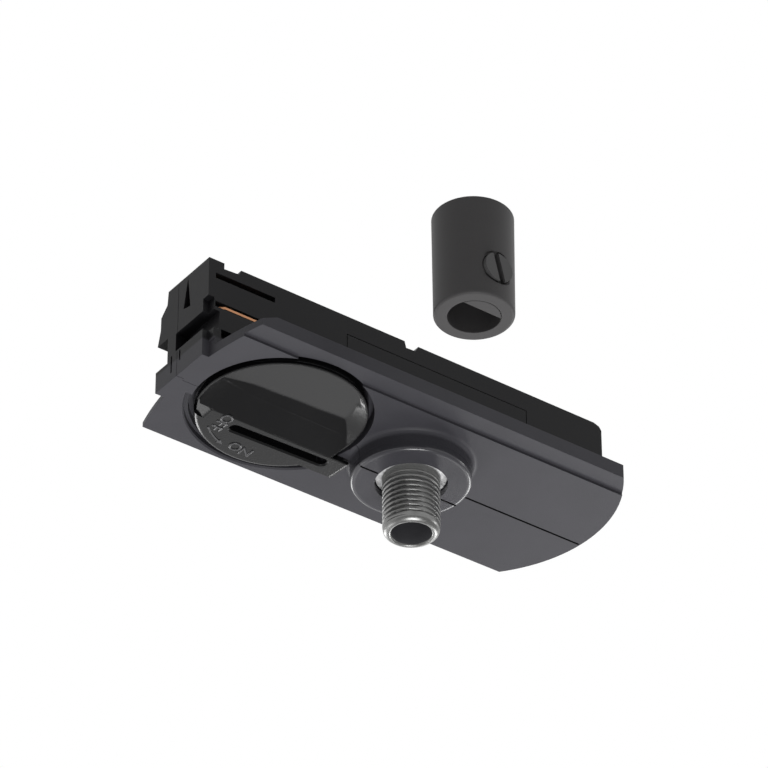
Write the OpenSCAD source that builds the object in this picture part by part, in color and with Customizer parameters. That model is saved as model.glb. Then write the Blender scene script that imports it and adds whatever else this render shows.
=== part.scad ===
// Track light adapter with a turn knob, a threaded nipple and a separate cord grip.
// The origin is on the nipple axis at the plate's face. +Z points up into the track, +X along the plate.

/* [Plate] */
// Width of the cover plate
plate_w = 35.6; // [34:0.1:42]
// Thickness of the plate at its rim
plate_t = 3.2; // [3:0.1:4]
// From the nipple axis to the tip of the rounded end
plate_right = 39.1; // [38.6:0.1:46]
// Radius of the rounded end
plate_right_r = 27.8; // [22:0.1:40]
// From the nipple axis to the tip of the knob end
plate_left = 46.3; // [45:0.1:47]
// Radius of the knob end's shallow arc
plate_left_r = 62; // [40:1:120]
// Width of the set-back strip along the near edge
border_w = 3.9; // [2:0.1:5]
// Depth of that strip behind the plate's face
border_step = 0.5; // [0.2:0.05:1]
// Height of the rim at the knob end, near side
rim_near = 1.8; // [1.4:0.1:2.6]
// Height of the rim at the knob end, far side
rim_far = 0.9; // [0.8:0.1:2.6]

/* [Head] */
// From the nipple axis to the near wall of the head
head_near = 7.05; // [6.9:0.05:8]
// From the nipple axis to the far wall at its foot
head_far = 8.1; // [7.8:0.05:9]
// From the nipple axis to the far wall at its shoulder
head_far_mid = 7.25; // [7:0.05:7.6]
// From the nipple axis to the far wall at the top
head_far_top = 5.2; // [4.8:0.05:5.6]
// Height of the head's top above the plate's face
head_top = 19.4; // [19.2:0.1:24]
// From the nipple axis to the contact end of the head
head_left = 47.4; // [47.2:0.1:50]
// From the nipple axis to the other end of the head
head_right = 36.85; // [34:0.05:38]
// Wall thickness of the head
wall = 1.4; // [1:0.05:1.6]
// Thickness of the head's roof
roof = 1.6; // [1.3:0.05:2]
// Offset of the seam between the housing halves
seam_y = 2.55; // [2.2:0.05:3]
// Offset of the seam across the collar
collar_seam_y = 0.8; // [0:0.05:2]
// Gap left at the seam
seam_gap = 0.1; // [0.04:0.01:0.2]

/* [Collar and nipple] */
// Outer radius of the collar
collar_r = 10.5; // [9:0.05:10.6]
// Height of the collar below the plate
collar_h = 4.06; // [3:0.01:6]
// Radius of the fillet at the collar's foot
collar_fillet = 1; // [0.3:0.1:1.2]
// Radius of the recess that takes the nipple's flange
flange_seat_r = 6.33; // [6:0.01:7.5]
// Thickness of the nipple's flange
flange_t = 1.7; // [1:0.1:2]
// Outer radius of the nipple's thread
thread_r = 5; // [4.5:0.05:5.5]
// Radius of the cable bore in the nipple
cable_bore_r = 3.48; // [2.5:0.01:3.6]
// Distance of the nipple's lower end below the plate's face
nipple_drop = 14.5; // [10:0.1:25]
// Radius of the nipple's swaged upper end
spigot_r = 4.15; // [4:0.05:4.4]
// Thickness of the steel strap that carries the nipple
strap_t = 1.2; // [0.8:0.1:1.4]

/* [Knob] */
// From the nipple axis to the knob's axis
knob_x = 27; // [26.8:0.1:28]
// Offset of the knob's axis across the plate
knob_y = 0.5; // [0.2:0.1:0.6]
// Radius of the knob's disc
knob_r = 14.85; // [13.5:0.05:15.2]
// Gap between the knob and the edge of its well
knob_gap = 1; // [0.5:0.1:1.1]
// How far the knob stands out of the plate
knob_proud = 1.2; // [0.9:0.1:2]
// Offset of the bar's edge from the nipple axis
bar_y = 5.07; // [4.5:0.01:6]
// Width of the slope from the bar down to the recess floor
bar_slope = 3.9; // [3:0.1:5]
// Depth of the recess at the foot of the slope
recess_depth = 1.6; // [1:0.1:1.7]
// How far the near rim of the recess stands out of the plate
rim_proud = 0.4; // [0.2:0.1:0.8]
// Radius of the bar's rounded edge
bar_round = 1.2; // [0.6:0.1:1.6]
// Length of the marker slot
marker_len = 19.5; // [12:0.5:20]
// Width of the marker slot
marker_w = 1.9; // [1:0.1:2.4]
// Radius of the knob's hub
hub_r = 4.5; // [3.8:0.05:5]
// Side of the knob's square post
post_w = 3.8; // [3:0.1:4.2]
// Radial clearance of the shafts in their bores
run_clear = 0.05; // [0.02:0.01:0.1]
// Clearance between moving pieces
clear = 0.35; // [0.3:0.05:0.4]

/* [Lock and contacts] */
// Reach of the locking wing from the knob's axis
wing_r = 9; // [8.6:0.1:9.2]
// Width of the locking wing
wing_w = 5.6; // [5:0.1:7]
// Thickness of the locking wing
wing_t = 2.7; // [2:0.1:2.7]
// Radius of the contact cam's drum
cam_r = 3.45; // [3.3:0.05:3.6]
// Offset of the cam's lobes
cam_lobe = 0.6; // [0.3:0.05:0.7]
// Thickness of the contact levers
lever_t = 0.5; // [0.4:0.05:0.8]
// Height of the lower contact lever above the plate's face
live_z = 10.3; // [10.2:0.05:10.8]
// Height of the upper contact lever above the plate's face
neutral_z = 16.2; // [16:0.05:16.3]
// Thickness of the busbars
bar_t = 0.8; // [0.5:0.1:0.9]
// Radius of the lever pivots
rivet_r = 1; // [0.7:0.05:1.1]
// Distance of the lever pivots from the knob's axis
pivot_dx = 8; // [7.5:0.1:8.3]

/* [Terminals] */
// From the nipple axis to the terminal block
term_x = 8.2; // [8:0.1:9.5]
// Length of the terminal block
term_len = 11; // [9:0.1:14]
// Height of a terminal clamp
clamp_h = 3.1; // [2.6:0.1:3.2]
// Length of a terminal clamp
clamp_len = 6.5; // [5:0.1:7]
// Left edge of the side cover, from the nipple axis
cover_left = 18.6; // [17.5:0.1:18.7]
// Right edge of the side cover, from the nipple axis
cover_right = 19.9; // [19.4:0.1:24]
// Height of the side cover's top edge above the plate's face
cover_top = 15.5; // [13:0.1:16]
// Gap round the side cover
cover_gap = 0.15; // [0.1:0.05:0.3]

/* [Fasteners] */
// Radius of the housing screws
screw_r = 1.1; // [0.8:0.05:1.3]
// Radius of the housing screws' heads
screw_head_r = 2.1; // [1.7:0.05:2.4]

/* [Cord grip] */
// Place of the grip along the plate
grip_x = -17.2; // [-30:0.1:0]
// Distance of the grip from the nipple axis across the plate
grip_y = -40.8; // [-60:0.1:-30]
// Height of the grip's open end above the plate's face
grip_z = -0.2; // [-5:0.1:5]
// Length of the grip
grip_len = 19.8; // [16:0.1:26]
// Radius of the grip at the cord's end
grip_r = 6.8; // [6.2:0.05:8]
// Draft of the grip's wall, over its length
grip_draft = 0.15; // [0:0.05:0.3]
// Radius of the grip's rounded lower edge
grip_edge = 0.5; // [0.2:0.1:0.8]
// Radius of the cord passage
cord_r = 4.5; // [4:0.05:5]
// Radius of the threaded end's bore
grip_thread_r = 5.05; // [4.6:0.05:5.3]
// Depth of the threaded end
grip_thread_len = 8.4; // [6:0.1:10]
// Radius of the hole in the shoulder that stops the nipple
shoulder_r = 3.9; // [3.4:0.05:4.2]
// Thickness of that shoulder
shoulder_t = 0.8; // [0.5:0.1:1.5]
// Offset of the jaw's flat from the grip's axis
jaw_flat = 2.2; // [1.8:0.1:2.6]
// Height of the clamp screw above the grip's open end
clamp_z = 6; // [5:0.1:7]
// Radius of the clamp screw
clamp_r = 2.75; // [2:0.05:2.8]
// Length of the clamp screw
clamp_screw_len = 2.7; // [2.4:0.1:3]

/* [Hidden] */
$fn = 64;
eps = 0.02;
far_out = 80;
black = "#2e2d31";
grey = "#8d8f92";
zinc = "#b4b7ba";
copper = "#c07a4a";
brass = "#c9a24b";
cream = "#d8d4c8";

// Nipple
flange_top = -collar_h + 2.86;
flange_low = flange_top - flange_t;
flange_r = flange_seat_r - 0.13;
neck_z = -collar_h - 0.14;
strap_w = 10.4;
strap_left = -9.5;
strap_right = 7.6;
strap_top = plate_t + strap_t;
swage_r = spigot_r + 0.9;
swage_h = 0.6;
// Heights of the head's far profile, as drops from its top
slope_z = head_top - 2.7;
flare_z = head_top - 4.4;
flank_z = head_top - 7;
hook_z = head_top - 10;
// The foot block and the two slots at the contact end
end_wall = 2.8;
end_slot = 2.3;
foot_near = -head_near + 1.55;
foot_far = head_far + 0.35;
foot_z = hook_z - 5.2;
near_slot_lo = foot_z + 1.1;
near_slot_hi = hook_z - 0.4;
corner_z = near_slot_hi + 2.5;
corner_len = 1.2;
end_seam_x = -head_left + 1.6;
end_seam_y = seam_y - 0.5;
// The shelf that the knob's hub turns in
shelf_t = 2;
shelf_x = strap_left - 0.3;
shelf_z = plate_t + shelf_t;
// Places along the knob's axis
knob_cx = -knob_x;
well_r = knob_r + knob_gap;
well_top = plate_t - 0.6;
disc_top = well_top - clear;
hub_top = shelf_z + clear;
wing_z = hub_top;
wing_top = wing_z + wing_t;
cam_z = wing_top + 0.2;
cam_top = head_top - roof - clear - 0.05;
cam_pin_r = 2;
cam_pin_h = 1;
cam_room = 0.25;
post_top = cam_z + 5.4;
pin_z = post_top - 1.2;
pin_r = 0.8;
detent_lo = pin_z - 1.2;
detent_hi = pin_z + 1.4;
// Lever outline: the arm inside, the contact in its slot
pivot_x = knob_cx + pivot_dx;
pivot_y = knob_y - cam_r - 0.55;
arm_w = 0.65;
arm_in = knob_y - cam_r - clear - 0.1;
arm_out = arm_in - arm_w;
lever_hub_r = 1.7;
slot_left = -head_left + 1.4;
slot_right = knob_cx - 6.8;
slot_h = lever_t + 2 * 0.3;
jog_x = slot_right - 0.6;
jog_len = 1.3;
tip_x = slot_left + 0.75;
tip_len = 1.4;
tip_in = 0.8;
// Busbars under the levers, in line with the terminal clamps
bar_gap = 0.4;
live_bar_z = live_z - lever_t / 2 - bar_gap - bar_t;
neutral_bar_z = neutral_z - lever_t / 2 - bar_gap - bar_t;
bar_w = 2.4;
tongue_w = 1.6;
tongue_y = -1;
tongue_end = term_x + 4.8;
pillar_x = -13;
pillar_len = 2.4;
// Sill under the side cover, and the cover's snap tabs
sill = 0.4;
cover_t = wall - 0.2;
tab_w = 4;
tab_in = 3;
tab_t = 0.65;
tab_root = cover_top - 3;
tab_neck = 1.5;
tab_top = cover_top + 0.9;
// Terminals
term_near = -head_near + 2.45;
term_far = seam_y - 0.35;
term_top = head_top - roof - 0.5;
clamp_w = 4.3;
clamp_x = term_x + 1.8;
earth_z = plate_t + 1.8;
term_levels = [earth_z, live_bar_z + bar_t / 2, neutral_bar_z + bar_t / 2];
tunnel_r = 1.35;
term_screw_r = 1.2;
term_screw_x = clamp_x + clamp_len / 2;
// Bent leaf of the earth contact
leaf_t = 0.5;
leaf_w = 3;
leaf_in = 0.2;
leaf_foot = strap_w / 2 + 0.1;
leaf_out = head_far + 0.7;
// Places of the housing screws: along the plate, and height
screw_at = [[-39, head_top - 6.2], [31, head_top - 9.4]];
screw_len = 8;
screw_head_h = 1.4;
near_boss_r = screw_r + 1.1;
far_boss_r = screw_head_r + 1;
// Cord grip
grip_top = grip_z + grip_len;
shoulder_z = grip_top - grip_thread_len - shoulder_t;
jaw_len = shoulder_z - grip_z - clear;
jaw_clear = 0.1;
clamp_h_z = grip_z + clamp_z;
clamp_out = grip_y - grip_r - 0.2;
clamp_tip_r = 1.4;
clamp_tip_len = 1.2;

// Box between two corners
module box(lo, hi) {
  translate(lo) cube(hi - lo);
}

// Outline in Y and Z, drawn along X
module along_x(x0, x1) {
  translate([x0, 0, 0]) rotate([90, 0, 90]) linear_extrude(x1 - x0) children();
}

// Outline in X and Z, drawn along Y
module along_y(y0, y1) {
  translate([0, y1, 0]) rotate([90, 0, 0]) linear_extrude(y1 - y0) children();
}

// Round bar along X at a given Y and Z
module rod_x(y, z, r, x0, x1) {
  translate([x0, y, z]) rotate([0, 90, 0]) cylinder(r = r, h = x1 - x0);
}

// Round bar along Y at a given X and Z
module rod_y(x, z, r, y0, y1) {
  translate([x, y0, z]) rotate([-90, 0, 0]) cylinder(r = r, h = y1 - y0);
}

// Round bar along Z at a given X and Y
module rod_z(x, y, r, z0, z1) {
  translate([x, y, z0]) cylinder(r = r, h = z1 - z0);
}

// Points of an arc, for revolved profiles
function arc(cx, cy, r, a0, a1, n = 6) =
  [for (i = [0:n]) [cx + r * cos(a0 + (a1 - a0) * i / n), cy + r * sin(a0 + (a1 - a0) * i / n)]];

// Section of the head, drawn in by a wall and a roof
function head_section(inset, cap, z0) = [
  [-head_near + inset, z0],
  [-head_near + inset, head_top - cap],
  [head_far_top - inset, head_top - cap],
  [head_far_top + 0.25 - inset, slope_z - inset / 2],
  [head_far_mid - inset, flare_z - inset / 2],
  [head_far_mid + 0.05 - inset, flank_z],
  [head_far - inset, hook_z],
  [head_far - inset, z0]
];

// Plate with one rounded end, one shallow arc, a set-back near border and a low rim at the knob end
module plate_form() {
  half = plate_w / 2;
  difference() {
    intersection() {
      box([-far_out, -half, 0], [far_out, half, plate_t]);
      rod_z(plate_left_r - plate_left, 0, plate_left_r, 0, plate_t);
      union() {
        box([-far_out, -half, 0], [plate_right - plate_right_r, half, plate_t]);
        rod_z(plate_right - plate_right_r, 0, plate_right_r, 0, plate_t);
      }
    }
    box([-far_out, -far_out, -eps], [far_out, -half + border_w, border_step]);
    rim_cut(-far_out, -head_near, rim_near);
    rim_cut(foot_far, far_out, rim_far);
  }
}

// Step down to the rim at the knob end
module rim_cut(y0, y1, h) {
  flat = -plate_left + 2.6;
  along_y(y0, y1) polygon([
    [-far_out, h], [flat, h], [flat + 3, plate_t], [flat + 3, plate_t + 1], [-far_out, plate_t + 1]]);
}

// Collar under the plate, with a fillet at its foot and a rounded rim
module collar_form() {
  rim = 0.6;
  rotate_extrude() polygon(concat(
    [[0, plate_t / 2], [collar_r + collar_fillet, plate_t / 2]],
    arc(collar_r + collar_fillet, -collar_fillet, collar_fillet, 90, 180),
    arc(collar_r - rim, -collar_h + rim, rim, 0, -90),
    [[0, -collar_h]]));
}

// Head above the plate and the foot block at its contact end
module head_form() {
  along_x(-head_left, head_right) polygon(head_section(0, 0, plate_t - eps));
  box([-head_left, foot_near, 0], [-plate_left + 3, foot_far, foot_z]);
}

// Hollow of the head, higher over the knob where the shelf is
module head_hollow() {
  along_x(-head_left + end_wall, shelf_x) polygon(head_section(wall, roof, shelf_z));
  along_x(shelf_x - eps, head_right - wall) polygon(head_section(wall, roof, plate_t));
}

// Slots, pockets and slits in the contact end
module end_cuts() {
  x0 = -head_left - 1;
  box([x0, -far_out, near_slot_lo], [-head_left + end_slot, seam_y, near_slot_hi]);
  box([x0, -far_out, -1], [-head_left + corner_len, foot_near, corner_z]);
  box([x0, head_far_top - 0.2, foot_z], [-head_left + end_slot, far_out, hook_z]);
  along_x(x0, -head_left + 1.2)
    polygon([[-0.75, head_top - 0.5], [-1.6, head_top - 7], [0.45, head_top - 6.5]]);
  box([x0, seam_y - 1.5, foot_z - 1.4], [-head_left + 0.8, seam_y - 1.1, near_slot_lo - 0.4]);
  box([x0, seam_y + 1, foot_z - 2.6], [-head_left + 0.8, seam_y + 1.4, foot_z + 0.8]);
  box([-head_left + 2.7, -head_near - 1, plate_t + sill],
      [-head_left + 4.8, -head_near + wall, plate_t + sill + 1.8]);
}

// Two notches across the top edge and the rounded corner at its end
module top_notches() {
  along_y(-far_out, far_out) {
    polygon([[-head_left + 3.1, head_top + 1], [-head_left + 3.1, head_top - 1.2],
             [-head_left + 6.2, head_top - 1], [-head_left + 6.9, head_top + 1]]);
    polygon([[-6.7, head_top + 1], [-6.1, head_top - 1.3], [-4.1, head_top - 1.2], [-3, head_top + 1]]);
    polygon([[head_right - 1.7, head_top + 1], [head_right - 1.7, head_top],
             [head_right - 0.5, head_top - 0.4], [head_right, head_top - 1.1],
             [head_right + 1, head_top - 1.1], [head_right + 1, head_top + 1]]);
  }
}

// Slots that the contact levers swing out through
module lever_slots() {
  for (z = [live_z, neutral_z]) {
    box([slot_left, -far_out, z - slot_h / 2], [slot_right, -head_near + wall + eps, z + slot_h / 2]);
    box([slot_left, -head_near, z - slot_h / 2],
        [-head_left + end_wall + eps, -head_near + wall + 1.5, z + slot_h / 2]);
  }
}

// Well of the knob in the plate, its hub's bore, room for the cam and the windows of the locking wing
module knob_well() {
  rod_z(knob_cx, knob_y, well_r, -1, well_top);
  wide_r = well_r + 1.75;
  intersection() {
    translate([knob_cx + 0.4, knob_y - 1.2, 0]) {
      rod_z(0, 0, wide_r, -1, 1.2);
      translate([0, 0, -eps]) cylinder(r1 = wide_r + 0.3, r2 = wide_r, h = 0.3);
    }
    box([-far_out, bar_y, -1], [-collar_r - 3, far_out, 1.2]);
  }
  rod_z(knob_cx, knob_y, hub_r + run_clear, 0, shelf_z + 1);
  rod_z(knob_cx, knob_y, cam_r + cam_room, wing_top, head_top - roof);
  rod_z(knob_cx, knob_y, cam_pin_r + run_clear, head_top - roof - 1, head_top - roof + 0.9);
  window = sqrt(pow(wing_r, 2) - pow(head_near + knob_y - wall, 2)) + clear;
  box([knob_cx - window, -far_out, wing_z - clear], [knob_cx + window, far_out, wing_top + clear]);
}

// Opening of the side cover in the near wall
module cover_opening() {
  box([-cover_left - cover_gap, -far_out, plate_t + sill],
      [cover_right + cover_gap, -head_near + wall + eps, cover_top + cover_gap]);
}

// Window of the earth contact in the far wall
module earth_window() {
  x0 = strap_left + leaf_in;
  box([x0 - clear, head_far - wall - 0.7, strap_top + 0.4],
      [x0 + leaf_w + clear, far_out, hook_z + 1.4]);
}

// Seats of the nipple in the collar and the plate
module nipple_seat() {
  rod_z(0, 0, flange_seat_r, -collar_h - 1, flange_top);
  rod_z(0, 0, spigot_r + run_clear, -collar_h, plate_t + 1);
}

// The whole housing before it is split
module housing_form() {
  difference() {
    union() {
      plate_form();
      collar_form();
      head_form();
    }
    head_hollow();
    knob_well();
    end_cuts();
    top_notches();
    lever_slots();
    cover_opening();
    earth_window();
    nipple_seat();
  }
}

// Space on the near side of the seam, moved by d
module near_side(d) {
  box([end_seam_x, -far_out, 0], [far_out, seam_y + d, far_out]);
  box([-far_out, -far_out, 0], [end_seam_x + eps, end_seam_y + d, far_out]);
  box([-far_out, -far_out, -far_out], [far_out, collar_seam_y + d, eps]);
}

// Round bars at the housing screws, for their bosses and bores
module screw_bores(r, y0, y1) {
  for (at = screw_at) rod_y(at[0], at[1], r, y0, y1);
}

// Far wall of the head at a screw, where its head sinks in
function screw_seat() = head_far_mid - screw_head_h;

module housing_near() {
  color(black) difference() {
    union() {
      intersection() {
        housing_form();
        near_side(-seam_gap / 2);
      }
      screw_bores(near_boss_r, -head_near + wall - eps, seam_y - seam_gap / 2);
      busbar_pillars();
    }
    screw_bores(screw_r + run_clear, screw_seat() - screw_len - 0.5, far_out);
  }
}

module housing_far() {
  color(black) difference() {
    union() {
      difference() {
        housing_form();
        near_side(seam_gap / 2);
      }
      intersection() {
        head_form();
        screw_bores(far_boss_r, seam_y + seam_gap / 2, far_out);
      }
    }
    screw_bores(screw_r + 0.2, 0, far_out);
    screw_bores(screw_head_r + 0.15, screw_seat(), far_out);
  }
}

// Posts that carry the busbars
module busbar_pillars() {
  box([pillar_x, pivot_y - bar_w / 2, shelf_z - eps], [pillar_x + pillar_len, pivot_y + 0.4, live_bar_z]);
  box([pillar_x, pivot_y + bar_w / 2 + 0.4, shelf_z - eps],
      [pillar_x + pillar_len, pivot_y + bar_w / 2 + 2.4, neutral_bar_z]);
}

module terminal_cover() {
  inner = -head_near + cover_t;
  behind = -head_near + wall + 0.05;
  color(black) {
    box([-cover_left, -head_near, plate_t + sill], [cover_right, inner, cover_top]);
    for (x = [-cover_left + tab_in, cover_right - tab_in - tab_w]) {
      box([x, inner - eps, tab_root], [x + tab_w, behind + tab_t, tab_root + tab_neck]);
      box([x, behind, tab_root], [x + tab_w, behind + tab_t, tab_top]);
    }
  }
}

module housing_screws() {
  color(grey) difference() {
    for (at = screw_at) {
      rod_y(at[0], at[1], screw_r, screw_seat() - screw_len, screw_seat() + eps);
      rod_y(at[0], at[1], screw_head_r, screw_seat(), screw_seat() + 1.1);
    }
    for (at = screw_at)
      translate([at[0], screw_seat() + 1.1, at[1]])
        for (turn = [0, 90])
          rotate([0, turn, 0]) cube([2.6, 1.4, 0.6], center = true);
  }
}

module nipple() {
  chamfer = 0.6;
  color(zinc) rotate_extrude() polygon([
    [cable_bore_r, -nipple_drop],
    [thread_r - chamfer, -nipple_drop],
    [thread_r, -nipple_drop + chamfer],
    [thread_r, neck_z],
    [thread_r - 0.3, neck_z],
    [thread_r - 0.3, flange_low],
    [flange_r, flange_low],
    [flange_r, flange_top],
    [spigot_r, flange_top],
    [spigot_r, strap_top],
    [swage_r, strap_top],
    [swage_r - 0.3, strap_top + swage_h],
    [cable_bore_r, strap_top + swage_h]
  ]);
}

// Steel strap with a tongue that rises to the earth terminal
module support_strap() {
  color(zinc) difference() {
    union() {
      box([strap_left, -strap_w / 2, plate_t], [strap_right, strap_w / 2, strap_top]);
      box([strap_right - bar_t, tongue_y - tongue_w / 2, plate_t],
          [strap_right, tongue_y + tongue_w / 2, earth_z + bar_t / 2]);
      box([strap_right - bar_t, tongue_y - tongue_w / 2, earth_z - bar_t / 2],
          [tongue_end, tongue_y + tongue_w / 2, earth_z + bar_t / 2]);
    }
    rod_z(0, 0, spigot_r + run_clear, 0, strap_top + 1);
  }
}

// Bent leaf from the strap out through the far wall
module earth_contact() {
  low = strap_top + 1.4;
  high = hook_z + 0.6;
  mid = (low + high) / 2;
  x0 = strap_left + leaf_in;
  color(brass) along_x(x0, x0 + leaf_w) polygon([
    [leaf_t, strap_top], [leaf_foot, strap_top], [leaf_foot, low], [leaf_out, mid - 0.6],
    [leaf_out, mid + 0.6], [leaf_foot, high], [leaf_foot, high + 2], [leaf_foot - leaf_t, high + 2],
    [leaf_foot - leaf_t, high - leaf_t / 2], [leaf_out - leaf_t, mid + 0.4],
    [leaf_out - leaf_t, mid - 0.4], [leaf_foot - leaf_t, low + leaf_t / 2],
    [leaf_foot - leaf_t, strap_top + leaf_t], [leaf_t, strap_top + leaf_t]]);
}

module terminal_block() {
  color(cream) difference() {
    box([term_x, term_near, plate_t], [term_x + term_len, term_far, term_top]);
    for (z = term_levels) {
      box([clamp_x - 0.05, term_near - 1, z - clamp_h / 2 - 0.05],
          [clamp_x + clamp_len + 0.05, tongue_y + clamp_w / 2 + 0.05, z + clamp_h / 2 + 0.05]);
      rod_x(tongue_y, z, tunnel_r, term_x - 1, term_x + term_len + 1);
    }
  }
}

module terminal_clamps() {
  color(brass) for (z = term_levels) difference() {
    box([clamp_x, tongue_y - clamp_w / 2, z - clamp_h / 2],
        [clamp_x + clamp_len, tongue_y + clamp_w / 2, z + clamp_h / 2]);
    rod_x(tongue_y, z, tunnel_r, clamp_x - 1, clamp_x + clamp_len + 1);
    rod_y(term_screw_x, z, term_screw_r + run_clear, tongue_y - clamp_w, tongue_y);
  }
}

module terminal_screws() {
  tip = tongue_y - tongue_w / 2 - 0.05;
  back = tongue_y - clamp_w / 2 - 0.7;
  color(zinc) for (z = term_levels) difference() {
    rod_y(term_screw_x, z, term_screw_r, back, tip);
    box([term_screw_x - 2, back - 1, z - 0.25], [term_screw_x + 2, back + 0.6, z + 0.25]);
  }
}

// Strip from a lever's pivot to its terminal, with a pad over the posts
module busbar(z, pad) {
  bend_x = 3;
  color(copper) difference() {
    union() {
      rod_z(pivot_x, pivot_y, rivet_r + 0.9, z, z + bar_t);
      box([pivot_x, pivot_y - bar_w / 2, z], [bend_x, pivot_y + bar_w / 2, z + bar_t]);
      box([bend_x - tongue_w, pivot_y - bar_w / 2, z], [bend_x, tongue_y + tongue_w / 2, z + bar_t]);
      box([bend_x - tongue_w, tongue_y - tongue_w / 2, z], [tongue_end, tongue_y + tongue_w / 2, z + bar_t]);
      box([pillar_x, pivot_y - bar_w / 2, z], [pillar_x + pillar_len, pivot_y + bar_w / 2 + pad, z + bar_t]);
    }
    rod_z(pivot_x, pivot_y, rivet_r + 0.01, z - 1, z + 2);
  }
}

module live_busbar() {
  busbar(live_bar_z, 0.2);
}

module neutral_busbar() {
  busbar(neutral_bar_z, 2.4);
}

// Pivots with a washer shoulder below and a head above the lever
module contact_rivets() {
  head_h = 0.5;
  color(brass) for (z = [live_z, neutral_z]) {
    low = z - lever_t / 2;
    high = z + lever_t / 2;
    rod_z(pivot_x, pivot_y, rivet_r, low - bar_gap - bar_t, high + 0.3 + head_h);
    rod_z(pivot_x, pivot_y, rivet_r + 0.5, low - bar_gap, low - 0.3);
    rod_z(pivot_x, pivot_y, rivet_r + 0.6, high + 0.3, high + 0.3 + head_h);
  }
}

// Leaf across the cam, with its ends on the far wall
module detent_spring() {
  leaf = 0.4;
  reach = 5.5;
  y0 = knob_y + cam_r + clear;
  y1 = head_far_mid - wall - 0.05;
  color(zinc) translate([knob_cx, 0, detent_lo]) linear_extrude(detent_hi - detent_lo) polygon([
    [-reach, y1], [-reach, y1 - leaf], [-reach + 1, y0], [reach - 1, y0], [reach, y1 - leaf], [reach, y1],
    [reach - leaf, y1], [reach - 1 - leaf, y0 + leaf], [-reach + 1 + leaf, y0 + leaf], [-reach + leaf, y1]]);
}

// Disc with a rounded edge, its face at a given distance out of the plate
module knob_disc(proud) {
  edge = 0.9;
  translate([knob_cx, knob_y, 0]) rotate_extrude() polygon(concat(
    [[0, disc_top], [knob_r, disc_top]],
    arc(knob_r - edge, -proud + edge, edge, 0, -90),
    [[0, -proud]]));
}

// Tip of the bar, which reaches over the plate to the collar's foot, with a rounded end
module knob_tip() {
  end_x = -collar_r + 1.7;
  end_round = 1.1;
  tip_w = 4.8;
  tip_back = -0.3;
  difference() {
    intersection() {
      box([knob_cx + 5, bar_y, -knob_proud], [end_x, bar_y + tip_w + 0.2, tip_back]);
      translate([end_x, bar_y, 0]) rotate([0, 0, 5.6]) along_y(-2, tip_w + 2) polygon(concat(
        [[-knob_x, tip_back], [-knob_x, -knob_proud]],
        arc(-end_round, -knob_proud + end_round, end_round, -90, -15),
        [[0, tip_back]]));
    }
    rod_z(0, 0, collar_r + 0.4, -far_out, far_out);
    rod_z(0, 0, collar_r + collar_fillet + 0.3, -knob_proud / 2, far_out);
  }
}

// Finger recess: a rounded slope down from the bar, a floor that rises to the near rim, and the bar's end
module knob_recess() {
  rim_y = knob_y - knob_r;
  left = knob_cx - knob_r + 4.15;
  fall = atan2(recess_depth + knob_proud, bar_slope);
  back = bar_y + bar_round * tan(fall / 2);
  along_x(knob_cx - knob_r - 1, -collar_r + 2) polygon(concat(
    [[back, -knob_proud - 1]],
    arc(back, -knob_proud + bar_round, bar_round, -90, -90 - fall),
    [[bar_y - bar_slope, recess_depth], [rim_y, -rim_proud], [rim_y - 1, -rim_proud],
     [rim_y - 1, -knob_proud - 1]]));
  along_y(rim_y, bar_y + 3) polygon([
    [left, -knob_proud - 1], [left, -knob_proud], [left - 0.5, -knob_proud + 0.2],
    [left - 0.9, -knob_proud + 0.6], [left - 1.2, 1], [left - 6, 1], [left - 6, -knob_proud - 1]]);
}

// Marker slot along the bar, a little askew and with a chamfered rim
module marker_slot() {
  r = marker_w / 2;
  rim = 0.3;
  run = marker_len - marker_w;
  face = -knob_proud - eps;
  floor_z = 0.6;
  translate([knob_cx + knob_r - 0.8 - marker_len + r, bar_y + 2.6, 0]) rotate([0, 0, -1.6]) {
    along_x(0, run) polygon([
      [-r - rim, face], [r + rim, face], [r, face + rim], [r, floor_z], [-r, floor_z], [-r, face + rim]]);
    for (x = [0, run]) {
      rod_z(x, 0, r, face, floor_z);
      translate([x, 0, face]) cylinder(r1 = r + rim, r2 = r, h = rim);
    }
  }
}

module knob() {
  half = post_w / 2;
  color(black) difference() {
    union() {
      knob_disc(rim_proud);
      intersection() {
        knob_disc(knob_proud);
        box([-far_out, bar_y - bar_slope, -far_out], [0, far_out, far_out]);
      }
      knob_tip();
      rod_z(knob_cx, knob_y, hub_r, disc_top - eps, hub_top);
      translate([knob_cx, knob_y, hub_top - eps])
        box([-half, -half, 0], [half, half, post_top - hub_top]);
    }
    knob_recess();
    marker_slot();
    rod_x(knob_y, pin_z, pin_r + 0.02, knob_cx - 5, knob_cx + 5);
  }
}

module locking_wing() {
  half = post_w / 2 + 0.04;
  color(grey) translate([knob_cx, knob_y, wing_z]) difference() {
    intersection() {
      cylinder(r = wing_r, h = wing_t);
      box([-wing_r, -wing_w / 2, 0], [wing_r, wing_w / 2, wing_t]);
    }
    box([-half, -half, -1], [half, half, wing_t + 1]);
  }
}

module contact_cam() {
  half = post_w / 2 + 0.04;
  flat = cam_r - 0.35;
  lobe_h = lever_t + 0.5;
  color(cream) translate([knob_cx, knob_y, 0]) difference() {
    union() {
      rod_z(0, 0, cam_r, cam_z, cam_top);
      rod_z(0, 0, cam_pin_r, cam_top - eps, cam_top + cam_pin_h);
      for (z = [live_z, neutral_z]) rod_z(-cam_lobe, 0, cam_r, z - lobe_h / 2, z + lobe_h / 2);
    }
    box([-half, -half, cam_z - 1], [half, half, post_top + 0.2]);
    for (turn = [0, 90, 180, 270])
      rotate([0, 0, turn]) box([flat, -cam_r, detent_lo - 0.2], [flat + cam_r, cam_r, detent_hi + 0.2]);
    rod_x(0, pin_z, pin_r + 0.02, -2 * cam_r, 2 * cam_r);
  }
}

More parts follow.
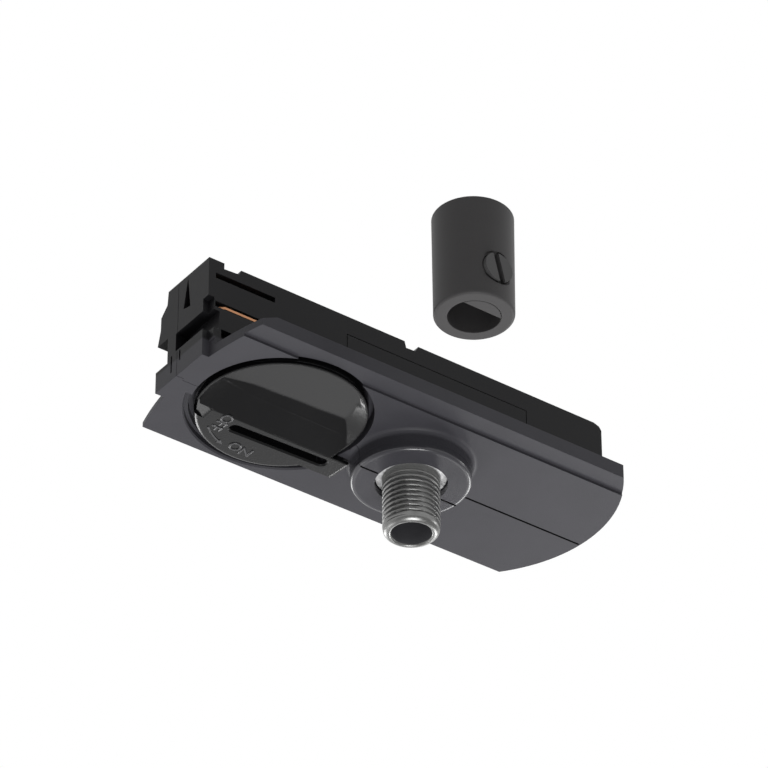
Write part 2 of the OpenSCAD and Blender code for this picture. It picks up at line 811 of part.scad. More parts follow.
module rotor_pin() {
  reach = cam_r - 0.45;
  color(zinc) rod_x(knob_y, pin_z, pin_r, knob_cx - reach, knob_cx + reach);
}

// Stamped lever: hub on its pivot, arm past the cam, and a contact in the side slot
module contact_lever(z, sunk) {
  con_out = -head_near + 0.2 + sunk;
  con_in = con_out + arm_w;
  color(copper) translate([0, 0, z - lever_t / 2]) difference() {
    union() {
      rod_z(pivot_x, pivot_y, lever_hub_r, 0, lever_t);
      linear_extrude(lever_t) polygon([
        [pivot_x, arm_out], [jog_x, arm_out], [jog_x - jog_len, con_out], [tip_x + tip_len, con_out],
        [tip_x, con_out + tip_in], [tip_x, con_in + tip_in], [tip_x + tip_len, con_in],
        [jog_x - jog_len - 0.3, con_in], [jog_x - 0.3, arm_in], [pivot_x, arm_in]]);
    }
    rod_z(pivot_x, pivot_y, rivet_r + run_clear, -1, lever_t + 1);
  }
}

module live_lever() {
  contact_lever(live_z, 0);
}

module neutral_lever() {
  contact_lever(neutral_z, 0.9);
}

module grip_body() {
  color(black) difference() {
    translate([grip_x, grip_y, grip_z]) rotate_extrude() polygon(concat(
      [[0, 0]],
      arc(grip_r - grip_edge, grip_edge, grip_edge, -90, 0),
      [[grip_r + grip_draft, grip_len], [0, grip_len]]));
    rod_z(grip_x, grip_y, cord_r, grip_z - 1, shoulder_z);
    rod_z(grip_x, grip_y, shoulder_r, grip_z, grip_top);
    rod_z(grip_x, grip_y, grip_thread_r, grip_top - grip_thread_len, grip_top + 1);
    rod_y(grip_x, clamp_h_z, clamp_r + 0.1, grip_y - grip_r - 2, grip_y);
    rod_y(grip_x, clamp_h_z, clamp_r + 0.45, grip_y - grip_r - 2, grip_y - grip_r + 0.5);
  }
}

// Segment of the cord passage, pushed in by the clamp screw
module grip_jaw() {
  color(black) difference() {
    intersection() {
      rod_z(grip_x, grip_y, cord_r - jaw_clear, grip_z, grip_z + jaw_len);
      box([grip_x - cord_r, grip_y - cord_r, grip_z], [grip_x + cord_r, grip_y - jaw_flat, grip_top]);
    }
    rod_y(grip_x, clamp_h_z, clamp_tip_r + run_clear, grip_y - 2 * cord_r,
          clamp_out + clamp_screw_len + clamp_tip_len + 0.05);
    rod_y(grip_x, clamp_h_z, clamp_r + 0.2, grip_y - 2 * cord_r, clamp_out + clamp_screw_len + 0.05);
  }
}

module grip_screw() {
  slot_w = 1.1;
  slot_turn = -14;
  color(black) difference() {
    union() {
      rod_y(grip_x, clamp_h_z, clamp_r, clamp_out, clamp_out + clamp_screw_len);
      rod_y(grip_x, clamp_h_z, clamp_tip_r, clamp_out + clamp_screw_len - eps,
            clamp_out + clamp_screw_len + clamp_tip_len);
    }
    translate([grip_x, clamp_out, clamp_h_z]) rotate([0, slot_turn, 0])
      cube([slot_w, 2, 4 * clamp_r], center = true);
  }
}

housing_near();
housing_far();
terminal_cover();
housing_screws();
nipple();
support_strap();
earth_contact();
terminal_block();
terminal_clamps();
terminal_screws();
live_busbar();
neutral_busbar();
contact_rivets();
detent_spring();
knob();
locking_wing();
contact_cam();
rotor_pin();
live_lever();
neutral_lever();
grip_body();
grip_jaw();
grip_screw();
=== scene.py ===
import math

import bmesh
import bpy
from mathutils import Matrix, Vector


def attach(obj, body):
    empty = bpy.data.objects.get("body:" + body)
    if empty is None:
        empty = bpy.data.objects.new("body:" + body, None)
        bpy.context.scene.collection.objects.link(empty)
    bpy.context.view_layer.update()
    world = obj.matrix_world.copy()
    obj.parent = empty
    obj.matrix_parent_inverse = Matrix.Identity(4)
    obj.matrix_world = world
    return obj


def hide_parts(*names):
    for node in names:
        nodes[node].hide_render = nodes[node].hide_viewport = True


MM = 0.001

# Camera of the photograph, in degrees, pixels and metres
PHOTO_SIZE = 768
VIEW_AZIMUTH = 36.318
VIEW_ELEVATION = 35.619
VIEW_ROLL = -0.179
VIEW_FOCAL = 4794.1
VIEW_DISTANCE = 0.82556
VIEW_SHIFT = (-0.0046507, 0.0138668)
SENSOR = 36.0

# Sizes of the pieces made here and of the solids that they meet, in millimetres
KNOB_X = -27.0
KNOB_Y = 0.5
KNOB_FACE = -1.2
BAR_LEFT = -37.7
SCOOP_R = 14.42
SCOOP_FLOOR = 1.42
SCOOP_RISE = 0.129
SCOOP_BACK = 1.9
BAR_EDGE = 5.3
SLOPE_TOP = -1.153
SLOPE_TOP_Y = 5.13
VALLEY_BEND = -35.0
LINING_EDGE = 5.12
BAR_END_EDGE = 5.1
BAR_END_WIDTH = 2.95
RIM_FACE = -0.42
RIM_IN = 14.38
RIM_OUT = 14.8
THREAD_R = 5.0
THREAD_PITCH = 1.0
THREAD_DEPTH = 0.26
BORE_R = 3.48
NIPPLE_END = -14.5
NECK_R = 4.15
FLANGE_R = 6.2
SEAM_HALF = 0.2
LETTER_HEIGHT = 2.15
GRIP_X = -17.2
GRIP_Y = -40.8
GRIP_TOP = 19.6
GRIP_THREAD_R = 5.05
GRIP_THREAD_LEN = 8.4

# Where the housing's finish changes and where its painted shade starts, in millimetres: two depths below the
# plate, a radius, and the height above which the head is painted darker as shade
COLLAR_START = 1.5
COLLAR_LIP = 3.0
COLLAR_RIM = 9.6
HEAD_SHADE_START = 3.2

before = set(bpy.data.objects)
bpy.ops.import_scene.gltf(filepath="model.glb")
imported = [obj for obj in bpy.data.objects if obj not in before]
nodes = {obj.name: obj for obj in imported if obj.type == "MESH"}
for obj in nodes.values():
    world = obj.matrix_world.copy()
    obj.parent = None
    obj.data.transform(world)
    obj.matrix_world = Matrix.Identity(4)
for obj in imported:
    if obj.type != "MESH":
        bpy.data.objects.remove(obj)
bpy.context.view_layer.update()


class Wire:
    """One socket of a node tree, used like a number in a sum."""

    def __init__(self, tree, socket):
        self.tree = tree
        self.socket = socket

    def _sum(self, operation, other, swapped=False):
        first, second = (other, self) if swapped else (self, other)
        return self.tree.add("ShaderNodeMath", {"operation": operation}, {0: first, 1: second})

    def __add__(self, other):
        return self._sum("ADD", other)

    def __radd__(self, other):
        return self._sum("ADD", other, True)

    def __sub__(self, other):
        return self._sum("SUBTRACT", other)

    def __rsub__(self, other):
        return self._sum("SUBTRACT", other, True)

    def __mul__(self, other):
        return self._sum("MULTIPLY", other)

    def __pow__(self, other):
        return self._sum("POWER", other)

    def larger(self, other):
        return self._sum("MAXIMUM", other)

    def smaller(self, other):
        return self._sum("MINIMUM", other)

    def share(self):
        return self.larger(0.0).smaller(1.0)


class Tree:
    """The nodes of a material or of the world."""

    def __init__(self, owner):
        owner.use_nodes = True
        self.owner = owner
        self.nodes = owner.node_tree.nodes
        self.links = owner.node_tree.links
        self.nodes.clear()

    def feed(self, socket, value):
        if isinstance(value, Wire):
            self.links.new(value.socket, socket)
        else:
            socket.default_value = value

    def add(self, kind, settings=None, inputs=None, output=0):
        node = self.nodes.new(kind)
        for key, value in (settings or {}).items():
            setattr(node, key, value)
        for key, value in (inputs or {}).items():
            self.feed(node.inputs[key], value)
        return Wire(self, node.outputs[output])

    def noise(self, place, scale, detail=2.0, rough=0.5):
        return self.add("ShaderNodeTexNoise", {}, {"Vector": place, "Scale": scale, "Detail": detail,
                                                   "Roughness": rough}, "Fac")

    def tint(self, amount, first, second):
        colours = {0: amount, 6: (*first, 1), 7: (*second, 1)}
        return self.add("ShaderNodeMix", {"data_type": "RGBA"}, colours, 2)

    def place(self):
        return self.add("ShaderNodeTexCoord", output="Object")

    def along(self, place, axis):
        return self.add("ShaderNodeSeparateXYZ", {}, {"Vector": place}, axis)

    def bump(self, height, strength, depth, normal=None):
        inputs = {"Height": height, "Strength": strength, "Distance": depth}
        if normal is not None:
            inputs["Normal"] = normal
        return self.add("ShaderNodeBump", {}, inputs)

    def soft_edge(self, radius):
        return self.add("ShaderNodeBevel", {"samples": 4}, {"Radius": radius})

    def surface(self, **inputs):
        names = {key.replace("_", " ").title().replace("Ior", "IOR"): value for key, value in inputs.items()}
        self.finish(self.add("ShaderNodeBsdfPrincipled", {}, names))

    def finish(self, shader):
        kind = "World" if isinstance(self.owner, bpy.types.World) else "Material"
        node = self.nodes.new("ShaderNodeOutput" + kind)
        self.links.new(shader.socket, node.inputs["Surface"])


def moulded_black(name, colour, grain, rough, edge, gloss, relief, collar=0.0, head=0.0):
    """Black moulded plastic with a fine grain, a smooth collar with a shiny edge, and a head darkened by
    painted shade.
    """
    material = bpy.data.materials.new(name)
    tree = Tree(material)
    here = tree.place()
    speck = tree.noise(here, 1 / (grain * MM), 2.0, 0.6)
    cloud = tree.noise(here, 110.0, 3.0)
    x, y, z = (tree.along(here, axis) * (1 / MM) for axis in "XYZ")
    below = (z * -1 - COLLAR_START).share()
    # Painted shade: the colour is darkened above the head's start height, by the share given in head
    painted_head_shade = ((z - HEAD_SHADE_START) * 2).share()
    tone = (0.62 + speck * 0.2 + cloud * 0.3) * (1 - painted_head_shade * head)
    normal = tree.bump(speck, 0.8, relief * MM, tree.soft_edge(edge * MM))
    looks = {"base_color": tree.tint(tone, (0.0005, 0.0005, 0.0005), colour), "specular_ior_level": gloss,
             "roughness": rough - 0.08 + speck * 0.1 + cloud * 0.06 - below * collar, "normal": normal}
    if collar:
        rim = (((x * x + y * y) ** 0.5 - COLLAR_RIM) * 5).share()
        lip = ((z * -1 - COLLAR_LIP) * 3).share()
        looks.update({"coat_weight": rim * lip * 0.6, "coat_roughness": 0.2, "coat_ior": 1.5})
    tree.surface(**looks)
    return material


def bare_metal(name, dark, light, rough, grain=0.3, edge=0.1):
    """Plain metal with a cloudy tone and fine marks."""
    material = bpy.data.materials.new(name)
    tree = Tree(material)
    here = tree.place()
    marks = tree.noise(here, 1 / (grain * MM), 4.0, 0.65)
    cloud = tree.noise(here, 260.0, 2.0)
    colour = tree.tint(marks * 0.5 + cloud * 0.5, dark, light)
    normal = tree.bump(marks, 0.25, 0.02 * MM, tree.soft_edge(edge * MM))
    tree.surface(base_color=colour, metallic=1.0, roughness=rough - 0.1 + marks * 0.2, normal=normal)
    return material


def worn_zinc(name):
    """Dull zinc of the threaded tube, paler and rougher towards its flange."""
    material = bpy.data.materials.new(name)
    tree = Tree(material)
    here = tree.place()
    marks = tree.noise(here, 3000.0, 4.0, 0.65)
    cloud = tree.noise(here, 260.0, 2.0)
    upper = (tree.along(here, "Z") * (0.4 / MM) + 2.6).share()
    colour = tree.tint(marks * 0.5 + cloud * 0.4 + upper * 0.12, (0.105, 0.106, 0.107), (0.33, 0.33, 0.322))
    tree.surface(base_color=colour, metallic=0.92 - upper * 0.5, roughness=0.24 + marks * 0.2 + upper * 0.12,
                 normal=tree.bump(marks, 0.12, 0.02 * MM))
    return material


def spangled_zinc(name):
    """Galvanised face with crystals of unlike brightness."""
    material = bpy.data.materials.new(name)
    tree = Tree(material)
    here = tree.place()
    crystals = tree.add("ShaderNodeTexVoronoi", {}, {"Vector": here, "Scale": 1600.0}, "Color")
    shade = tree.add("ShaderNodeSeparateColor", {}, {"Color": crystals}, "Red")
    fine = tree.noise(here, 4200.0, 3.0)
    colour = tree.tint(shade * 0.7 + fine * 0.3, (0.36, 0.36, 0.365), (0.86, 0.86, 0.86))
    tree.surface(base_color=colour, metallic=0.5, roughness=0.45 + shade * 0.2,
                 normal=tree.bump(shade + fine * 0.4, 0.4, 0.03 * MM))
    return material


def plain_plastic(name, dark, light):
    """Plain cloudy finish, for the natural plastic inside and for the nipple's bore wall, which is painted
    dark as the shade inside the hole.
    """
    material = bpy.data.materials.new(name)
    tree = Tree(material)
    here = tree.place()
    cloud = tree.noise(here, 240.0, 3.0)
    fine = tree.noise(here, 3500.0, 2.0)
    normal = tree.bump(fine, 0.2, 0.02 * MM, tree.soft_edge(0.15 * MM))
    tree.surface(base_color=tree.tint(cloud, dark, light), roughness=0.42 + fine * 0.12, normal=normal)
    return material


# The housing's head above the plate is painted darker as shade (head=0.85)
housing_black = moulded_black("housing_black", (0.052, 0.051, 0.059), 0.22, 0.46, 0.1, 0.15, 0.02,
                              collar=0.22, head=0.85)
knob_black = moulded_black("knob_black", (0.005, 0.005, 0.0055), 0.4, 0.2, 0.1, 0.31, 0.03)
grip_black = moulded_black("grip_black", (0.058, 0.056, 0.057), 0.2, 0.5, 0.22, 0.2, 0.01)
# The letters and arrow are a paler black than the knob they stand on, as painted sheen on the raised strokes
letter_sheen_black = moulded_black("letter_sheen_black", (0.045, 0.045, 0.048), 0.3, 0.24, 0.04, 0.5, 0.005)
screw_black = moulded_black("screw_black", (0.068, 0.067, 0.068), 0.2, 0.45, 0.1, 0.3, 0.008)
# Near-black finish for the strips of painted shade along the housing's seam
seam_shade_black = moulded_black("seam_shade_black", (0.001, 0.001, 0.001), 0.2, 0.9, 0.02, 0.02, 0.005)
steel_zinc = bare_metal("steel_zinc", (0.15, 0.15, 0.142), (0.34, 0.34, 0.325), 0.32)
# Dark finish of the nipple's bore wall: painted shade inside the hole
bore_shade = plain_plastic("bore_shade", (0.030, 0.030, 0.034), (0.055, 0.055, 0.060))
nipple_zinc = worn_zinc("nipple_zinc")
flange_zinc = spangled_zinc("flange_zinc")
wing_zinc = bare_metal("wing_zinc", (0.28, 0.28, 0.29), (0.46, 0.46, 0.47), 0.5)
lever_copper = bare_metal("lever_copper", (0.34, 0.16, 0.08), (0.56, 0.29, 0.16), 0.36)
clamp_brass = bare_metal("clamp_brass", (0.52, 0.36, 0.13), (0.76, 0.57, 0.26), 0.36)
cream_plastic = plain_plastic("cream_plastic", (0.52, 0.49, 0.41), (0.62, 0.59, 0.51))

finishes = {
    "housing_near": housing_black, "housing_far": housing_black, "terminal_cover": housing_black,
    "knob": knob_black, "grip_body": grip_black, "grip_jaw": grip_black, "grip_screw": screw_black,
    "support_strap": steel_zinc, "rotor_pin": steel_zinc, "detent_spring": steel_zinc,
    "terminal_screws": steel_zinc, "housing_screws": steel_zinc, "locking_wing": wing_zinc,
    "live_lever": lever_copper, "neutral_lever": lever_copper, "live_busbar": lever_copper,
    "neutral_busbar": lever_copper, "contact_rivets": clamp_brass, "terminal_clamps": clamp_brass,
    "earth_contact": clamp_brass, "terminal_block": cream_plastic, "contact_cam": cream_plastic}
for node_name, finish in finishes.items():
    slots = nodes[node_name].data.materials
    slots.clear()
    slots.append(finish)


def add_piece(name, mesh, body, slot, *materials):
    """Put a finished mesh into the scene, riding on a body."""
    piece = bpy.data.objects.new(name, mesh)
    bpy.context.scene.collection.objects.link(piece)
    for material in materials:
        mesh.materials.append(material)
    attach(piece, body)
    return piece


def finished_mesh(name, bm):
    """Mesh with all normals outwards, from faces that are all in place."""
    bmesh.ops.recalc_face_normals(bm, faces=bm.faces)
    mesh = bpy.data.meshes.new(name)
    bm.to_mesh(mesh)
    bm.free()
    return mesh


def swept_mesh(name, sections):
    """Closed bar through a row of sections, each a loop of points in millimetres."""
    bm = bmesh.new()
    rings = [[bm.verts.new((x * MM, y * MM, z * MM)) for x, y, z in section] for section in sections]
    for here, there in zip(rings, rings[1:]):
        for i in range(len(here)):
            k = (i + 1) % len(here)
            bm.faces.new((here[i], there[i], there[k], here[k]))
    bm.faces.new(rings[0])
    bm.faces.new(rings[-1])
    return finished_mesh(name, bm)


def add_slab(bm, outline, first, second):
    """Flat slab of an outline between two heights, in millimetres."""
    rims = [[bm.verts.new((x * MM, y * MM, z * MM)) for x, y in outline] for z in (first, second)]
    bm.faces.new(rims[0])
    bm.faces.new(list(reversed(rims[1])))
    for i in range(len(outline)):
        k = (i + 1) % len(outline)
        bm.faces.new((rims[0][i], rims[0][k], rims[1][k], rims[1][i]))


def turned_mesh(name, rows, turns, wave=None):
    """Closed ring turned about Z from rows of radius, height and thread share, in millimetres."""
    bm = bmesh.new()
    rings = []
    for step in range(turns):
        angle = 2 * math.pi * step / turns
        ring = []
        for radius, height, share in rows:
            r = radius - (share * wave(height, angle) if wave and share else 0)
            ring.append(bm.verts.new((r * math.cos(angle) * MM, r * math.sin(angle) * MM, height * MM)))
        rings.append(ring)
    for step in range(turns):
        here, there = rings[step], rings[(step + 1) % turns]
        for i in range(len(rows)):
            k = (i + 1) % len(rows)
            bm.faces.new((here[i], there[i], there[k], here[k]))
    return finished_mesh(name, bm)


def thread_wave(height, angle):
    """Depth of a worn thread at a height and an angle, from 0 at the crest to 1 at the root."""
    along = (height / THREAD_PITCH + angle / (2 * math.pi)) % 1.0
    slope = abs(along - 0.5) * 2
    return min(max((slope - 0.58) / 0.38, 0.0), 1.0)


def make_nipple():
    """Threaded tube with a rounded end, a thread that runs out, and a galvanised flange."""
    rows = [(BORE_R, 5.0, 0), (BORE_R, NIPPLE_END + 0.3, 0), (BORE_R + 0.18, NIPPLE_END + 0.06, 0),
            (BORE_R + 0.38, NIPPLE_END, 0), (4.1, NIPPLE_END + 0.05, 0), (4.4, NIPPLE_END + 0.2, 0),
            (4.66, NIPPLE_END + 0.42, 0), (4.84, NIPPLE_END + 0.68, 0)]
    low, high, step = NIPPLE_END + 0.9, -3.9, 0.0833
    count = round((high - low) / step)
    for i in range(count + 1):
        z = low + (high - low) * i / count
        start = min((z - low) / 0.6, 1.0)
        runout = min(max((high - z) / 2.4, 0.0), 1.0)
        rows.append((THREAD_R - 0.03 * (1 - runout) - 0.1 * (1 - start), z, THREAD_DEPTH * start * runout))
    rows += [(THREAD_R, -3.4, 0), (5.04, -3.1, 0), (5.14, -2.94, 0), (5.26, -2.9, 0),
             (FLANGE_R - 0.08, -2.9, 0), (FLANGE_R, -2.8, 0), (FLANGE_R, -1.2, 0), (NECK_R, -1.2, 0),
             (NECK_R, 4.4, 0), (5.0, 4.4, 0), (4.7, 5.0, 0)]
    mesh = turned_mesh("nipple_threaded", rows, 120, thread_wave)
    piece = add_piece("nipple_threaded", mesh, "adapter", "zinc_steel", nipple_zinc, flange_zinc, bore_shade)
    for face in mesh.polygons:
        x, y, z = face.center
        face.use_smooth = True
        reach = math.hypot(x, y)
        face.material_index = 1 if reach > 5.05 * MM and z < 0 else 0
        # The bore's wall takes the dark finish, as painted shade inside the hole
        if reach < (BORE_R + 0.05) * MM:
            face.material_index = 2
    mesh.set_sharp_from_angle(angle=math.radians(50))
    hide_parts("nipple")


def make_grip_thread():
    """Ridge of the female thread in the grip's upper end."""
    per_turn = 60
    low = GRIP_TOP - GRIP_THREAD_LEN + 0.2
    high = GRIP_TOP - 0.3
    turns = (high - low) / THREAD_PITCH - 0.6
    steps = round(turns * per_turn)
    root = GRIP_THREAD_R - 0.01
    sections = []
    for i in range(steps + 1):
        angle = 2 * math.pi * i / per_turn
        z = low + 0.3 + THREAD_PITCH * i / per_turn
        fade = min(i / 30, (steps - i) / 30, 1.0)
        crest = GRIP_THREAD_R - 0.02 - 0.5 * fade
        outline = ((root, -0.45), (crest, -0.08), (crest, 0.08), (root, 0.45))
        sections.append([(GRIP_X + radius * math.cos(angle), GRIP_Y + radius * math.sin(angle), z + dz)
                         for radius, dz in outline])
    mesh = swept_mesh("grip_thread_ridge", sections)
    add_piece("grip_thread_ridge", mesh, "adapter", "black_plastic", grip_black)


def lower_of(first, second, blend):
    """Smaller of two heights, with a rounded change between them."""
    share = max(blend - abs(first - second), 0.0) / blend
    return min(first, second) - share * share * blend / 4


def bar_height(x, y, steepness):
    """Height of the knob's bar: its face, the slope below it and the bevel at its left end."""
    past = VALLEY_BEND - x
    bend = 0.13 * (past + math.hypot(past, 2.0))
    ripple = 0.06 * math.sin(0.8 * x)
    valley = -2.75 - 0.05 * (x + 28) + bend + ripple
    fall = (SCOOP_FLOOR + SCOOP_RISE * valley - SLOPE_TOP) / (SLOPE_TOP_Y - valley)
    mould_line = 0.03 * math.exp(-((y + 0.26) / 0.13) ** 2)
    beyond = max(0.0, BAR_LEFT - x)
    bevel = steepness * (math.hypot(beyond, 0.3) - 0.3)
    return KNOB_FACE + max(0.0, BAR_EDGE - y) * fall + bevel - mould_line


def scoop_height(x, y):
    """Height of the finger scoop: slope below the bar, floor up to the near rim, round right end."""
    floor = SCOOP_FLOOR + SCOOP_RISE * y
    angle = math.atan2(y - KNOB_Y, x - KNOB_X)
    open_end = min(max((math.cos(angle + 0.2) - 0.55) / 0.3, 0.0), 1.0)
    steepness = 3.0 - 2.55 * open_end
    end = RIM_FACE + (SCOOP_R - math.hypot(x - KNOB_X, y - KNOB_Y)) * steepness
    return lower_of(lower_of(floor, bar_height(x, y, 0.03), 0.16), end, 0.1)


def height_solid(name, columns, depth):
    """Closed solid on the knob from columns of points with heights, and a flat back inside the disc."""
    bm = bmesh.new()
    front = []
    back = []
    for column in columns:
        front.append([bm.verts.new((x * MM, y * MM, z * MM)) for x, y, z in column])
        back.append([bm.verts.new((x * MM, y * MM, depth * MM)) for x, y, z in (column[0], column[-1])])
    for i in range(len(columns) - 1):
        here, there = front[i], front[i + 1]
        for k in range(len(here) - 1):
            bm.faces.new((here[k], here[k + 1], there[k + 1], there[k]))
        bm.faces.new((back[i][0], back[i][1], back[i + 1][1], back[i + 1][0]))
        bm.faces.new((here[0], there[0], back[i + 1][0], back[i][0]))
        bm.faces.new((here[-1], there[-1], back[i + 1][1], back[i][1]))
    for i in (0, -1):
        bm.faces.new(front[i] + [back[i][1], back[i][0]])
    mesh = finished_mesh(name, bm)
    mesh.shade_smooth()
    mesh.set_sharp_from_angle(angle=math.radians(40))
    add_piece(name, mesh, "knob", "black_plastic", knob_black)


def make_scoop():
    """Sculpted finger scoop of the knob, and the bevelled left end of its bar."""
    columns = []
    for i in range(111):
        across = 0.995 * SCOOP_R * (2 * i / 110 - 1)
        half = math.sqrt(SCOOP_R ** 2 - across ** 2)
        x = KNOB_X + across
        low = KNOB_Y - half
        high = min(KNOB_Y + half, LINING_EDGE)
        ys = [low + (high - low) * k / 200 for k in range(201)]
        columns.append([(x, y, scoop_height(x, y)) for y in ys])
    height_solid("knob_scoop", columns, SCOOP_BACK)
    columns = []
    for i in range(13):
        y = BAR_END_EDGE + BAR_END_WIDTH * i / 12
        left = KNOB_X - math.sqrt(SCOOP_R ** 2 - (y - KNOB_Y) ** 2)
        xs = [left + (BAR_LEFT + 0.1 - left) * k / 16 for k in range(17)]
        columns.append([(x, y, bar_height(x, y, 0.55) + 0.01) for x in xs])
    height_solid("knob_bar_end", columns, SCOOP_BACK)


def make_rim():
    """Thin rim of the knob round the scoop, from the bar's left end to its tip."""
    profile = [(RIM_IN, SCOOP_BACK), (RIM_IN, RIM_FACE + 0.06), (14.45, RIM_FACE), (14.68, RIM_FACE),
               (RIM_OUT, RIM_FACE + 0.12), (RIM_OUT, SCOOP_BACK)]
    first, last, steps = 161.6, 378.4, 150
    sections = []
    for i in range(steps + 1):
        angle = math.radians(first + (last - first) * i / steps)
        sections.append([(KNOB_X + r * math.cos(angle), KNOB_Y + r * math.sin(angle), z)
                         for r, z in profile])
    mesh = swept_mesh("knob_rim", sections)
    mesh.shade_smooth()
    mesh.set_sharp_from_angle(angle=math.radians(30))
    add_piece("knob_rim", mesh, "knob", "black_plastic", knob_black)


def make_parting_lines():
    """Black strips of painted shade along the gap where the housing halves meet, on the collar's face and on
    the plate.
    """
    runs = [(-10.25, -6.42, 0.8, -4.07), (6.42, 10.25, 0.8, -4.07), (12.0, 38.75, 2.55, -0.01)]
    bm = bmesh.new()
    for left, right, y, z in runs:
        first, last, low, high = left + SEAM_HALF, right - SEAM_HALF, y - SEAM_HALF, y + SEAM_HALF
        outline = [(left, y), (first, low), (last, low), (right, y), (last, high), (first, high)]
        add_slab(bm, outline, z, z + 0.05)
    mesh = finished_mesh("parting_line_shade", bm)
    add_piece("parting_line_shade", mesh, "adapter", "black_plastic", seam_shade_black)


def raised_letter(letter, x, y, turn):
    """One raised letter on the knob's face, read from below."""
    curve = bpy.data.curves.new("letter", "FONT")
    curve.body = letter
    curve.size = LETTER_HEIGHT * MM / 0.7
    curve.align_x = "CENTER"
    curve.align_y = "CENTER"
    curve.extrude = 0.04 * MM
    curve.bevel_depth = 0.13 * MM
    curve.bevel_resolution = 3
    curve.offset = -0.09 * MM
    text = bpy.data.objects.new("letter", curve)
    bpy.context.scene.collection.objects.link(text)
    bpy.context.view_layer.update()
    mesh = bpy.data.meshes.new_from_object(text.evaluated_get(bpy.context.evaluated_depsgraph_get()))
    bpy.data.objects.remove(text)
    bpy.data.curves.remove(curve)
    turned = Matrix.Rotation(math.radians(turn), 4, "Z") @ Matrix.Rotation(math.pi, 4, "X")
    mesh.transform(Matrix.Translation((x * MM, y * MM, KNOB_FACE * MM)) @ turned)
    return mesh


def make_lettering():
    """OFF and ON on the knob, with an arrow between them, in a paler black than the knob as painted sheen.
    """
    signs = [("O", -34.5, 6.0, 90), ("F", -34.5, 7.7, 90), ("F", -34.5, 9.2, 90),
             ("O", -28.6, 12.0, 11), ("N", -26.2, 12.3, -2)]
    for number, (letter, x, y, turn) in enumerate(signs):
        mesh = raised_letter(letter, x, y, turn)
        add_piece("knob_letter_%d" % number, mesh, "knob", "black_plastic", letter_sheen_black)
    loop = []
    first, last, radius, half = 133.5, 113.0, 12.65, 0.16
    for i in range(13):
        loop.append((first + (last - first) * i / 12, radius - half))
    loop += [(last, radius - 0.5), (last - 5.5, radius), (last, radius + 0.5)]
    for i in range(13):
        loop.append((last + (first - last) * i / 12, radius + half))
    outline = [(KNOB_X + r * math.cos(math.radians(a)), KNOB_Y + r * math.sin(math.radians(a)))
               for a, r in loop]
    bm = bmesh.new()
    add_slab(bm, outline, KNOB_FACE - 0.12, KNOB_FACE + 0.05)
    add_piece("knob_arrow", finished_mesh("knob_arrow", bm), "knob", "black_plastic", letter_sheen_black)


def aim_camera():
    """Camera at the photograph's angle, distance and lens."""
    azimuth, elevation, roll = (math.radians(a) for a in (VIEW_AZIMUTH, VIEW_ELEVATION, VIEW_ROLL))
    sa, ca, se, ce = math.sin(azimuth), math.cos(azimuth), math.sin(elevation), math.cos(elevation)
    ahead = Vector((ce * sa, ce * ca, se))
    level = Vector((ca, -sa, 0))
    upright = Vector((-sa * se, -ca * se, ce))
    right = math.cos(roll) * level + math.sin(roll) * upright
    up = math.cos(roll) * upright - math.sin(roll) * level
    place = right * VIEW_SHIFT[0] + up * VIEW_SHIFT[1] - ahead * VIEW_DISTANCE
    data = bpy.data.cameras.new("photo_camera")
    data.sensor_width = SENSOR
    data.lens = VIEW_FOCAL * SENSOR / PHOTO_SIZE
    data.clip_start = 0.01
    camera = bpy.data.objects.new("photo_camera", data)
    bpy.context.scene.collection.objects.link(camera)
    turn = Matrix((right, up, -ahead)).transposed().to_4x4()
    camera.matrix_world = Matrix.Translation(place) @ turn
    bpy.context.scene.camera = camera


def add_softbox(name, towards, distance, width, height, power):
    """Area lamp in a given direction from the object, facing it."""
    data = bpy.data.lights.new(name, "AREA")
    data.shape = "RECTANGLE"
    data.size = width
    data.size_y = height
    data.energy = power
    lamp = bpy.data.objects.new(name, data)
    bpy.context.scene.collection.objects.link(lamp)
    aim = Vector(towards).normalized()
    target = Vector((-0.004, -0.006, 0.003))
    lamp.location = target + aim * distance
    lamp.rotation_euler = aim.to_track_quat("Z", "Y").to_euler()


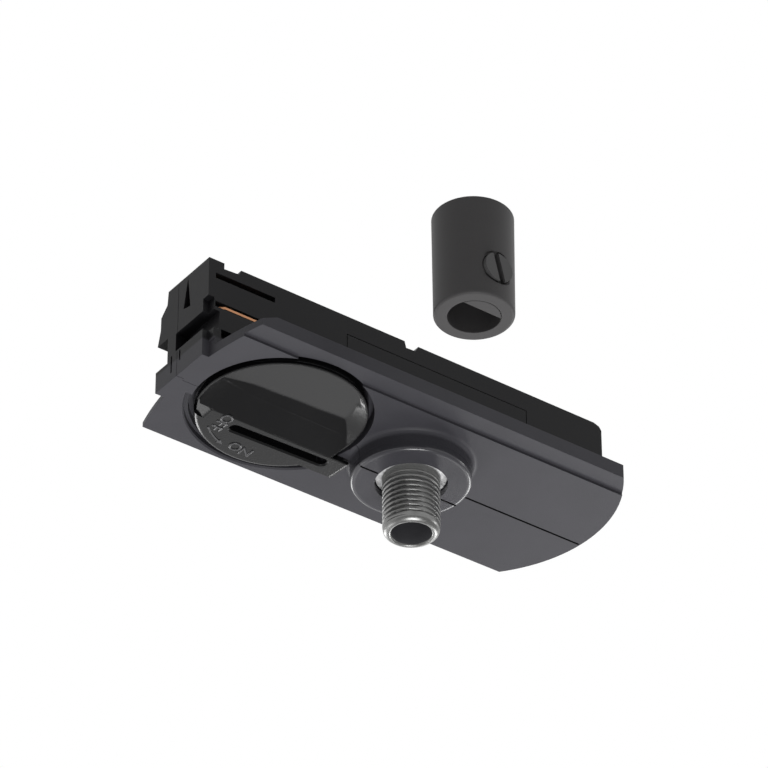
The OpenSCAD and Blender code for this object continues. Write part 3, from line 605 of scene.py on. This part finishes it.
def set_stage():
    """White surroundings that light the object less than they show, a pale floor, and soft lamps."""
    world = bpy.data.worlds.new("studio")
    bpy.context.scene.world = world
    tree = Tree(world)
    seen = tree.add("ShaderNodeLightPath", output="Is Camera Ray")
    shine = tree.add("ShaderNodeLightPath", output="Is Glossy Ray")
    through = tree.add("ShaderNodeLightPath", output="Is Transmission Ray")
    dim = tree.add("ShaderNodeBackground", {}, {"Color": (1, 1, 1, 1), "Strength": 0.38})
    white = tree.add("ShaderNodeBackground", {}, {"Color": (1, 1, 1, 1), "Strength": 1.0})
    shown = seen.larger(shine).larger(through)
    tree.finish(tree.add("ShaderNodeMixShader", {}, {0: shown, 1: dim, 2: white}))

    material = bpy.data.materials.new("floor_pale")
    tree = Tree(material)
    tone = tree.noise(tree.place(), 3.0, 2.0)
    tree.surface(base_color=tree.tint(tone, (0.84, 0.84, 0.84), (0.86, 0.86, 0.86)), roughness=0.9)
    mesh = bpy.data.meshes.new("floor")
    reach = 4.0
    level = -1.1
    back = 0.8
    corners = [(-reach, -reach, level), (reach, -reach, level), (reach, back, level), (-reach, back, level)]
    mesh.from_pydata(corners, [], [(0, 1, 2, 3)])
    mesh.materials.append(material)
    floor = bpy.data.objects.new("floor", mesh)
    bpy.context.scene.collection.objects.link(floor)

    add_softbox("key_softbox", (0.8, 0.42, -0.43), 0.8, 0.16, 0.36, 1.9)
    add_softbox("back_softbox", (0.05, 0.97, -0.15), 0.8, 0.25, 0.3, 1.5)
    add_softbox("fill_softbox", (-0.08, -0.25, -0.965), 0.8, 0.3, 0.3, 4.0)
    add_softbox("edge_softbox", (0.62, 0.656, -0.43), 0.8, 0.1, 0.16, 0.4)
    add_softbox("right_softbox", (0.905, -0.415, -0.085), 0.8, 0.15, 0.3, 0.8)
    add_softbox("left_softbox", (-0.3, 0.655, -0.69), 0.8, 0.22, 0.22, 0.6)


scene = bpy.context.scene
scene.view_settings.view_transform = "Standard"
aim_camera()
make_nipple()
make_grip_thread()
make_scoop()
make_rim()
make_parting_lines()
make_lettering()
set_stage()
